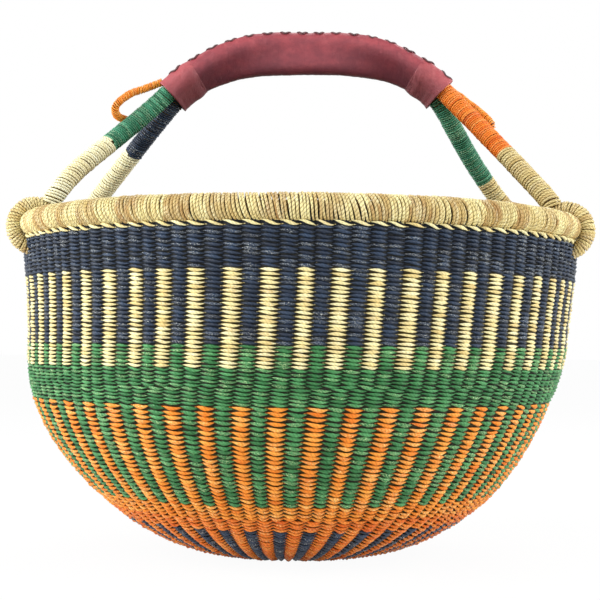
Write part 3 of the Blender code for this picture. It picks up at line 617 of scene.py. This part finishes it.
# rim binding: straws side by side round the bundle, in patches of paler and browner straw
binding = dict(
    outset=0.0026, grow=0.0010, pitch=0.00225, thick=0.00105, full=0.455, perTurn=16, starts=5, knots=4,
    slope=-0.0004, slopeChange=0.0024, slopeWaves=(7, 3, 22), swell=0.0003, swellWaves=(8, 3, 30), ringSteps=720,
    sway=0.00034, wobble=0.00016, toneSpread=0.16, wideSpread=0.10,
    patch=(0.008, 0.015), pale=(0.72, 0.98), brown=(0.12, 0.45), seed=77,
)
rimStraw = Strands(6)
rng = np.random.default_rng(binding["seed"])
turns = int(round(2 * math.pi * rim["radius"] / (binding["pitch"] * binding["starts"])))
phase = np.arange(turns * binding["perTurn"]) / binding["perTurn"]
turnOf = phase.astype(int)
knots = np.arange(binding["knots"] * turns + 1) / binding["knots"]
section = -2 * math.pi * phase  # wound so that the front leans down to the right
patchEnds, patchTones = [0.0], []
while patchEnds[-1] < 1:
    patchEnds.append(patchEnds[-1] + rng.uniform(*binding["patch"]))
    patchTones.append(rng.uniform(*binding["pale" if len(patchTones) % 2 else "brown"]))
slope = slowWave(rng, binding["ringSteps"], *binding["slopeWaves"]) * binding["slopeChange"] + binding["slope"]
swell = slowWave(rng, binding["ringSteps"], *binding["swellWaves"]) * binding["swell"]


def closedUneven(spread):
    values = rng.normal(0, spread, len(knots))
    values[-1] = values[0]
    return np.interp(phase, knots, values)


for start in range(binding["starts"]):
    share = (phase + start / binding["starts"]) / turns
    spot = (share * binding["ringSteps"]) % binding["ringSteps"]
    lay = -closedLookup(slope, spot) * np.sin(section) + closedUneven(binding["sway"])
    theta = 2 * math.pi * share + lay / rim["radius"] + math.pi
    reach = (rim["thickness"] / 2 + binding["grow"] - binding["thick"] + closedUneven(binding["wobble"])
             + closedLookup(swell, spot))
    sinA, cosA = np.sin(theta), -np.cos(theta)
    outward = np.stack([sinA, cosA, np.zeros_like(sinA)], axis=1)
    around = np.stack([-cosA, sinA, np.zeros_like(sinA)], axis=1)
    out = outward * np.cos(section)[:, None] + np.array([0, 0, 1.0]) * np.sin(section)[:, None]
    path = outward * (rim["radius"] + binding["outset"]) + np.array([0, 0, rim["height"]]) + out * reach[:, None]
    patch = np.clip(np.searchsorted(patchEnds, share % 1) - 1, 0, len(patchTones) - 1)
    tone = np.array(patchTones)[patch] + rng.normal(0, binding["toneSpread"], turns + 1)[turnOf]
    broad = binding["pitch"] * binding["full"] * (1 + rng.normal(0, binding["wideSpread"], turns + 1)[turnOf])
    rimStraw.add(path, out, around, binding["thick"], broad, np.clip(tone, 0, 1),
                 rng.uniform(0, 1, turns + 1)[turnOf], closed=True)
rimStraw.piece("rimBinding", "rim_wrap", "natural_straw", strawLooks["rim"])
print("rim bound")

# the grip's middle line, between its two arches
archOffset = (handle["colouredWrap"] + handle["gap"]) / 2
gripHalfDepth = handle["colouredWrap"] / 2 + handle["ease"] + handle["leather"]
gripHalfHeight = archOffset + gripHalfDepth
gripMiddle = handle["height"] - gripHalfHeight - handle["lace"] - handle["laceEase"]


def gripSide(x):
    return "left" if x < 0 else "right"


def gripFrame(x):
    side = gripSide(x)
    share = abs(x) / handle["span"][side]
    drop, curve = handle["drop"][side], handle["curve"][side]
    slopeHere = -curve * drop / handle["span"][side] * share ** (curve - 1) * math.copysign(1, x)
    along = Vector((1, 0, slopeHere)).normalized()
    up = Vector((-along.z, 0, along.x))
    near = min(1, share)
    turn = handle["turn"] * near ** 2 * (3 - 2 * near)
    toFront = up * math.cos(turn) + Vector((0, -math.sin(turn), 0))
    toBack = up * math.sin(turn) + Vector((0, math.cos(turn), 0))
    return Vector((x + handle["shift"], 0, gripMiddle - drop * share ** curve)), along, up, toFront, toBack


def footFrame(facts):
    out = Vector((facts["side"] * math.cos(handle["footAngle"]), -facts["front"] * math.sin(handle["footAngle"]), 0))
    middle = rim["radius"] * out + Vector((0, 0, rim["height"] - handle["eyeDrop"]))
    rise = math.radians(facts["rise"])
    return middle, out, -out * math.cos(rise) + Vector((0, 0, math.sin(rise)))


def legPath(facts, steps=60):
    middle, _, rise = footFrame(facts)
    foot = middle + rise * (handle["eyeRadius"] + handle["eyeThickness"] / 2 + handle["footGap"])
    place, along, _, toFront, _ = gripFrame(facts["side"] * handle["span"][gripSide(facts["side"])])
    top = place + toFront * facts["front"] * archOffset
    footPull = foot + rise * facts["footPull"]
    topPull = top + along * facts["side"] * facts["topPull"]
    points = (foot, footPull, topPull, top)
    route = []
    for step in range(steps + 1):
        t = step / steps
        shares = ((1 - t) ** 3, 3 * t * (1 - t) ** 2, 3 * t ** 2 * (1 - t), t ** 3)
        route.append(sum((point * share for point, share in zip(points, shares)), Vector((0, 0, 0))))
    return np.array(route)


# the two left legs' bare straw takes the paler leg finish, partly painted light for the brighter left side; the
# right legs take the rim straw
legs = dict(
    frontLeft=dict(side=-1, front=1, node="front_left", dye="green", finish="legGreen", bareFinish="leg",
                   rise=59, footPull=0.036, topPull=0.068, bare=0.071),
    rearLeft=dict(side=-1, front=-1, node="rear_left", dye="navy", finish="navy", bareFinish="leg",
                  rise=44, footPull=0.008, topPull=0.016, bare=0.0745),
    frontRight=dict(side=1, front=1, node="front_right", dye="orange", finish="deepOrange", bareFinish="rim",
                    rise=62, footPull=0.008, topPull=0.014, bare=0.056),
    rearRight=dict(side=1, front=-1, node="rear_right", dye="green", finish="legGreen", bareFinish="rim",
                   rise=43, footPull=0.066, topPull=0.018, bare=0.047),
)
legStraw = dict(
    thick=0.00085, proud=0.0002, seed=301,
    barePitch=0.00225, bareLean=0.16, barePerTurn=14, bareTones=(40, 0.62), footIn=0.0027,
    dyedPitch=0.00172, dyedLean=0.10, dyedPerTurn=12,
    eyePitch=0.0021, eyeRing=0.0160, eyeThick=0.0060, eyeTones=(52, 0.60), eyePoints=121,
)
dyedWraps = []
for seed, (leg, facts) in enumerate(legs.items(), legStraw["seed"]):
    rng = np.random.default_rng(seed)
    label = leg[0].upper() + leg[1:]
    path = legPath(facts)
    middle, out, rise = footFrame(facts)
    # the bare straw starts down in its eye
    eyeRing = legStraw["eyeRing"]
    inEye = np.array(middle + rise * (eyeRing + legStraw["footIn"]))
    bare = np.concatenate([[inEye], cutPath(path, 0, facts["bare"], 60)])
    straw = Strands()
    tones = strawTones(rng, *legStraw["bareTones"])
    coilRound(straw, cutPath(bare, 0, None, 70), handle["naturalWrap"] / 2 + legStraw["proud"],
              legStraw["barePitch"], legStraw["thick"], rng, legStraw["barePerTurn"], legStraw["bareLean"], tones)
    straw.piece(f"bareStraw{label}", f"wrap_natural_{facts['node']}", "natural_straw",
                strawLooks[facts["bareFinish"]])
    dyed = Strands()
    coilRound(dyed, cutPath(path, facts["bare"], None, 90), handle["colouredWrap"] / 2 + legStraw["proud"],
              legStraw["dyedPitch"], legStraw["thick"], rng, legStraw["dyedPerTurn"], legStraw["dyedLean"])
    dye = facts["dye"]
    dyedWraps.append(f"{dye}Straw{label}")
    dyed.piece(dyedWraps[-1], f"wrap_{dye}_{facts['node']}", f"{dye}_straw", strawLooks[facts["finish"]])
    ring = np.array([middle + out * (eyeRing * math.cos(t)) + Vector((0, 0, eyeRing * math.sin(t)))
                     for t in np.linspace(0, 2 * np.pi, legStraw["eyePoints"])])
    eye = Strands()
    tones = strawTones(rng, *legStraw["eyeTones"])
    coilRound(eye, ring, legStraw["eyeThick"], legStraw["eyePitch"], legStraw["thick"], rng,
              legStraw["barePerTurn"], legStraw["bareLean"], tones, fanFrom=np.array(middle))
    bundleInside(eye, ring, legStraw["eyeThick"] - 2 * legStraw["thick"])
    eye.piece(f"eyeBinding{label}", f"eye_{facts['node']}", "natural_straw", strawLooks["rim"])
print("legs bound")

# leather grip: one sheet round both arches, a little lumpy, and a strip of hide round each end
grip = dict(flat=(0.086, 0.224), along=170, around=56, square=4.5, waist=0.0006, waistShare=0.3,
            lump=0.00063, lumpScale=0.055, crease=0.00022, creaseStretch=Vector((0.42, 0.10, 0.10)),
            seamHigh=0.0006, seamWide=0.10, seed=1)
cuffs = dict(flat=(0.096, 0.025), length=0.019, thick=0.0010, gap=0.0003, overhang=0.0010, steps=34, seed=2,
             fade=0.005, sink=0.0011, wrinkle=0.00045, lip=0.0004, lipWide=0.0016,
             nub=0.0022, nubAt=0.66, nubWide=0.20)


def hideSleeve(name, first, last, growth, steps, seed, shape, finish):
    # a closed sheet of hide round the grip: its outer skin, its inner skin and both ends
    points, coords, quads = [], [], []
    around = grip["around"]
    straight = gripHalfHeight - gripHalfDepth
    halfDepth = gripHalfDepth + growth
    waistHeight = grip["waistShare"] * gripHalfHeight
    shift = Vector((seed * 3.1, seed * 1.7, 0))
    for skin in (0, 1):
        for i in range(steps + 1):
            share = i / steps
            place, _, up, toFront, toBack = gripFrame(first + (last - first) * share)
            for j in range(around):
                t = 2 * math.pi * j / around
                across, high = halfDepth * math.cos(t), halfDepth * math.sin(t)
                high += straight * math.tanh(grip["square"] * math.sin(t)) / math.tanh(grip["square"])
                direction = toBack * math.cos(t) + toFront * math.sin(t)
                grow = -handle["leather"]
                if not skin:
                    spot = place * 1000 + direction * 9 + shift
                    waist = math.exp(-((high / waistHeight) ** 2)) * abs(math.cos(t))
                    grow = (grip["lump"] * noise.noise(spot * grip["lumpScale"]) - grip["waist"] * waist
                            + grip["crease"] * noise.noise(spot * grip["creaseStretch"])
                            + shape(share, t, direction, spot))
                points.append(place + toBack * across + toFront * high + direction * grow)
                # how far each point faces up, which sets the painted shade underneath
                coords.append((share, 0, direction.dot(up)))
    size = (steps + 1) * around
    end = steps * around
    for j in range(around):
        k = (j + 1) % around
        for low in range(0, end, around):
            a, b, c, d = low + j, low + k, low + around + k, low + around + j
            quads += [(a, b, c, d), (size + d, size + c, size + b, size + a)]
        quads += [(j, size + j, size + k, k), (end + k, size + end + k, size + end + j, end + j)]
    thing = buildMesh(name, points, quads, dict(hide=coords))
    thing.data.materials.append(finish)
    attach(thing, "root")
    print(f"  {name}: {2 * len(quads)} triangles")
    return thing


def seamRidge(share, t, direction, spot):
    # the edges of the sheet meet in a low ridge along the top
    return grip["seamHigh"] * math.exp(-((math.remainder(t - math.pi / 2, 2 * math.pi) / grip["seamWide"]) ** 2))


gripSheet = hideSleeve("gripLeather", -handle["span"]["left"], handle["span"]["right"], 0, grip["along"],
                       grip["seed"], seamRidge, hideLook)
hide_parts("grip_leather")


def cuffShape(side):
    reach = cuffs["length"] + cuffs["overhang"]

    def shape(share, t, direction, spot):
        inward = share if side < 0 else 1 - share  # 0 at the cuff's open end, 1 on the grip
        faded = min(1, (1 - inward) * reach / cuffs["fade"])
        sink = cuffs["sink"] * (1 - faded) ** 1.5
        fold = cuffs["wrinkle"] * noise.noise(Vector((spot.x * 0.30 + spot.z * 0.22 * side, spot.y * 0.12, 3.7)))
        lip = cuffs["lip"] * math.exp(-((inward * reach / cuffs["lipWide"]) ** 2))
        under = max(0, -direction.z) ** 5
        nub = cuffs["nub"] * under * math.exp(-(((inward - cuffs["nubAt"]) / cuffs["nubWide"]) ** 2))
        return fold * faded - sink + lip + nub
    return shape


for side, label in ((-1, "left"), (1, "right")):
    span = handle["span"][label]
    ends = sorted((side * (span - cuffs["length"]), side * (span + cuffs["overhang"])))
    cuff = hideSleeve(f"gripCuff{label.capitalize()}", *ends, cuffs["gap"] + cuffs["thick"], cuffs["steps"],
                      cuffs["seed"] + side, cuffShape(side), cuffLook)
    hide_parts(f"grip_cuff_{label}")
print("grip covered")

# lacing: a thong that whips the two edges of the sheet together along the top
lacing = dict(stitches=16, points=14, swing=math.radians(38), thick=0.0012, halfWide=0.0010, sunk=0.0003,
              climb=0.007, climbStart=0.2)
lacePath, laceOut = [], []
for turn in np.arange(lacing["stitches"] * lacing["points"] + 1) / lacing["points"]:
    x = (handle["span"]["left"] + handle["span"]["right"]) * turn / lacing["stitches"] - handle["span"]["left"]
    place, _, up, toFront, _ = gripFrame(x)
    pastCuff = (abs(x) - handle["span"][gripSide(x)] + cuffs["length"]) / lacing["climb"] + lacing["climbStart"]
    reach = (gripHalfDepth + handle["laceEase"] + lacing["thick"] / 2 - lacing["sunk"]
             + (cuffs["gap"] + cuffs["thick"]) * min(1, max(0, pastCuff)))
    swing = lacing["swing"] * math.sin(2 * math.pi * turn)
    away = up * math.cos(swing) + Vector((0, math.sin(swing), 0))
    lacePath.append(place + toFront * (gripHalfHeight - gripHalfDepth) + away * reach)
    laceOut.append(away)
lacePath, laceOut = np.array(lacePath), np.array(laceOut)
thong = Strands(8)
thong.add(lacePath, laceOut, np.cross(pathFrames(lacePath)[0], laceOut), lacing["thick"] / 2, lacing["halfWide"],
          tone=0.5, mark=0.5)
thongLook = hideFinish("darkThong", light=(0.125, 0.040, 0.044), dark=(0.070, 0.024, 0.028),
                       under=(0.04, 0.016, 0.018), patch=(0.20, 0.07, 0.07))
thong.piece("gripLacing", "grip_lace", "lace", thongLook)
print("grip laced")

# tie loops: stiff cord bound in orange straw, beside the two front legs
loops = dict(
    thick=0.0062, pitch=0.00135, straw=0.0006, proud=0.0001, lean=0.35, perTurn=10, tuck=0.003, points=90, seed=50,
    left=dict(side=-1, rootTurn=0, rootSteps=(0,), reach=0.0431, shares=(
        (0.277, 0.332, 0), (0.417, 0.386, 0), (0.553, 0.437, 0), (0.767, 0.464, 0), (0.929, 0.451, 0.019),
        (1.0, 0.381, 0.081), (0.986, 0.261, 0.167), (0.898, 0.140, 0.227), (0.805, 0.025, 0.260))),
    right=dict(side=1, rootTurn=math.radians(71.3), rootSteps=(0, 1), reach=0.0479, shares=(
        (0.223, 0.083, 0.210), (0.378, 0.093, 0.205), (0.555, 0.116, 0.193), (0.724, 0.134, 0.181),
        (0.874, 0.139, 0.177), (0.968, 0.126, 0.187), (0.999, 0.070, 0.214), (0.958, 0.002, 0.226),
        (0.832, -0.033, 0.223), (0.624, -0.050, 0.220), (0.415, -0.057, 0.218))),
)


def smoothThrough(points, count, pieces=16):
    # a smooth curve through these points, cut into equal steps
    points = [Vector(point) for point in points]
    ends = [2 * points[0] - points[1]] + points + [2 * points[-1] - points[-2]]
    fine = []
    for i in range(1, len(ends) - 2):
        before, start, stop, after = ends[i - 1:i + 3]
        for step in range(pieces):
            t = step / pieces
            fine.append(0.5 * (2 * start + (stop - before) * t + (2 * before - 5 * start + 4 * stop - after) * t ** 2
                               + (3 * start - before - 3 * stop + after) * t ** 3))
    fine.append(points[-1])
    return cutPath(np.array(fine), 0, None, count)


for label in ("left", "right"):
    loop = loops[label]
    leg = legPath(legs[f"front{label.capitalize()}"])[::-1]
    lengths = pathLengths(leg)
    rootReach = handle["colouredWrap"] / 2 + handle["gap"] + loops["thick"] / 2
    rootLift, rootBack = rootReach * math.cos(loop["rootTurn"]), rootReach * math.sin(loop["rootTurn"])
    rootStart = cuffs["overhang"] + cuffs["thick"] + handle["gap"]
    route = []
    for far, lift, back in (*((rootStart + step * loops["thick"], rootLift, rootBack) for step in loop["rootSteps"]),
                            *([loop["reach"] * share for share in place] for place in loop["shares"])):
        onLeg, beyond = (Vector(alongPath(lengths, leg, length)) for length in (far, far + loops["thick"]))
        along = (beyond - onLeg).normalized()
        up = (Vector((0, 0, 1)) - along * along.z).normalized()
        route.append(onLeg + up * lift + up.cross(along) * loop["side"] * back)
    route.insert(0, route[0] + (route[0] - route[2]).normalized() * loops["tuck"])
    route = smoothThrough(route, loops["points"])
    cord = Strands()
    bundleInside(cord, route, loops["thick"] / 2 - 2 * loops["straw"])
    coilRound(cord, route, loops["thick"] / 2 + loops["proud"], loops["pitch"], loops["straw"],
              np.random.default_rng(loops["seed"] + loop["side"]), loops["perTurn"], loops["lean"])
    cord.piece(f"tieLoop{label.capitalize()}", f"tie_loop_{label}", "orange_straw", strawLooks["orange"])
print("tie loops made")

# the bundles inside the rim and the arches keep their solids, with a finish of cut stems
stems = dict(noise=(700, 3.0), dark=(0.16, 0.09, 0.03), light=(0.34, 0.22, 0.09), rough=0.8)
stemLook, tree, shader = newFinish("grassStems")
place = tree.nodes.new("ShaderNodeTexCoord").outputs["Object"]
tree.links.new(mixColour(tree, noiseOf(tree, place, *stems["noise"]), stems["dark"], stems["light"]),
               shader.inputs["Base Color"])
shader.inputs["Roughness"].default_value = stems["rough"]
for node in ("rim_core", "arch_core_front", "arch_core_rear"):
    for slot in bpy.data.objects[node].material_slots:
        slot.material = stemLook

# floor, light and camera
stage = dict(floorSize=30, floorHeight=-0.0002, floorColour=(0.93, 0.93, 0.93, 1), floorRough=0.9, floorWhite=0.955,
             skyLevel=0.55, aim=Vector((0, 0, 0.2)),
             lamps=(dict(name="keyLamp", place=(-0.6, -1.6, 1.6), power=13, size=1.2),
                    dict(name="leftLamp", place=(-1.8, -0.5, 0.9), power=39, size=1.4),
                    dict(name="rightLamp", place=(1.8, -0.5, 0.9), power=31, size=1.4),
                    dict(name="backLamp", place=(0.4, 1.5, 1.6), power=12, size=1.2)))


def seenDirectly(tree):
    rays = tree.nodes.new("ShaderNodeLightPath").outputs
    return sums(tree, "MAXIMUM", rays["Is Camera Ray"],
                sums(tree, "MAXIMUM", rays["Is Glossy Ray"], rays["Is Transmission Ray"]))


size, level = stage["floorSize"], stage["floorHeight"]
floorMesh = bpy.data.meshes.new("floor")
floorMesh.from_pydata([(-size, -size, level), (size, -size, level), (size, size, level), (-size, size, level)],
                      [], [(0, 1, 2, 3)])
floor = newThing("floor", floorMesh)
floorLook, tree, shader = newFinish("paleFloor")
shader.inputs["Base Color"].default_value = stage["floorColour"]
shader.inputs["Roughness"].default_value = stage["floorRough"]
glow = tree.nodes.new("ShaderNodeEmission")
mix = tree.nodes.new("ShaderNodeMixShader")
join(tree, sums(tree, "MULTIPLY", seenDirectly(tree), stage["floorWhite"]), mix.inputs[0])
join(tree, shader.outputs[0], mix.inputs[1])
join(tree, glow.outputs[0], mix.inputs[2])
join(tree, mix.outputs[0], tree.nodes["Material Output"].inputs["Surface"])
floorMesh.materials.append(floorLook)

world = bpy.data.worlds.new("paleStudio")
bpy.context.scene.world = world
world.use_nodes = True
background = world.node_tree.nodes["Background"]
background.inputs["Color"].default_value = (1, 1, 1, 1)
join(world.node_tree, sums(world.node_tree, "MULTIPLY_ADD", seenDirectly(world.node_tree), 1 - stage["skyLevel"],
                           stage["skyLevel"]), background.inputs["Strength"])
for lamp in stage["lamps"]:
    light = bpy.data.lights.new(lamp["name"], "AREA")
    light.energy = lamp["power"]
    light.size = lamp["size"]
    holder = newThing(lamp["name"], light)
    holder.location = lamp["place"]
    holder.rotation_euler = (stage["aim"] - holder.location).to_track_quat("-Z", "Y").to_euler()

# the camera looks up by 50 pixels of a picture whose focal length is 1460
shot = dict(place=(0, -1.133, 0.1545), lens=87.6, sensor=36, rise=math.atan(50 / 1460), roll=math.radians(0.5))
camera = bpy.data.cameras.new("camera")
camera.lens = shot["lens"]
camera.sensor_width = shot["sensor"]
holder = newThing("camera", camera)
aimed = Euler((math.pi / 2 + shot["rise"], 0, 0)).to_matrix().to_4x4() @ Matrix.Rotation(shot["roll"], 4, "Z")
holder.matrix_world = Matrix.Translation(shot["place"]) @ aimed
bpy.context.scene.camera = holder
bpy.context.scene.view_settings.view_transform = "Standard"
print("stage set")
